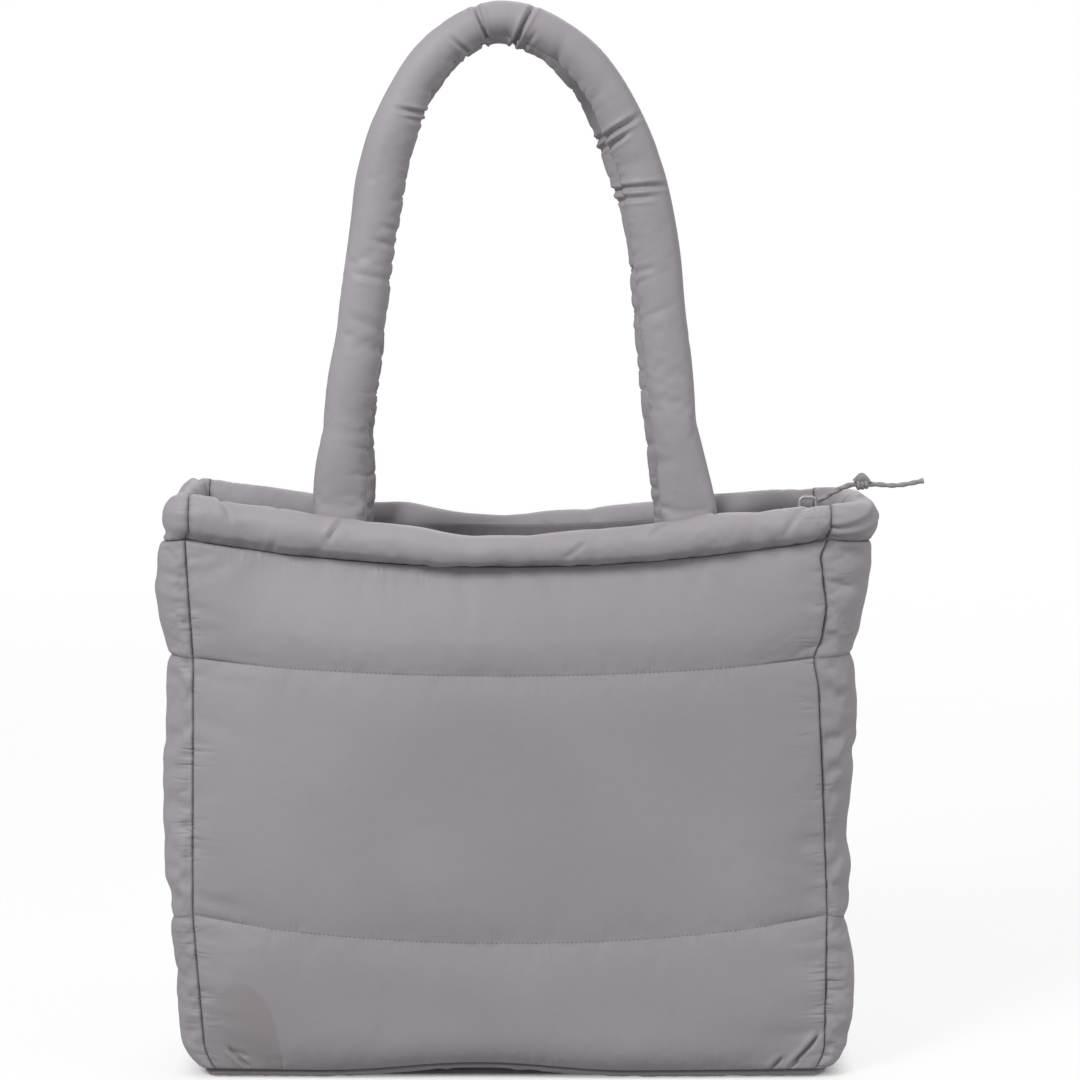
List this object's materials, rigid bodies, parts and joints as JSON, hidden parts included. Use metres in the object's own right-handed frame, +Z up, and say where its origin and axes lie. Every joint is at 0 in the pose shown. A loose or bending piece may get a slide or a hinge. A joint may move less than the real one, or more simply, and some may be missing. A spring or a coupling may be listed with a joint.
{
  "type": "puffer tote bag",
  "caption": "Open padded tote bag with quilted channels, rolled rim, tall tubular handles and a zip with a knotted cord pull.",
  "frame": {"origin": "on the floor, under the middle of the bag's body", "axes": "+X to the bag's right as its front is seen, -Y out of its front, +Z up"},
  "size_m": [0.4465, 0.1416, 0.6109],
  "materials": {
    "shell": "matt nylon with a slight sheen",
    "tape": "matt woven",
    "zip_metal": "satin",
    "cord": "matt"
  },
  "bodies": {
    "root": {"front_panel": "shell", "back_panel": "shell", "left_gusset": "shell", "right_gusset": "shell", "base_panel": "shell", "rim_front": "shell", "rim_back": "shell", "rim_left": "shell", "rim_right": "shell", "handle_front": "shell", "handle_back": "shell", "zip_tape_front": "tape", "zip_tape_back": "tape", "zip_slider": "zip_metal", "zip_bail": "zip_metal", "pull_cord": "cord", "pull_knot": "cord", "pull_fold": "cord"}
  },
  "joints": []
}
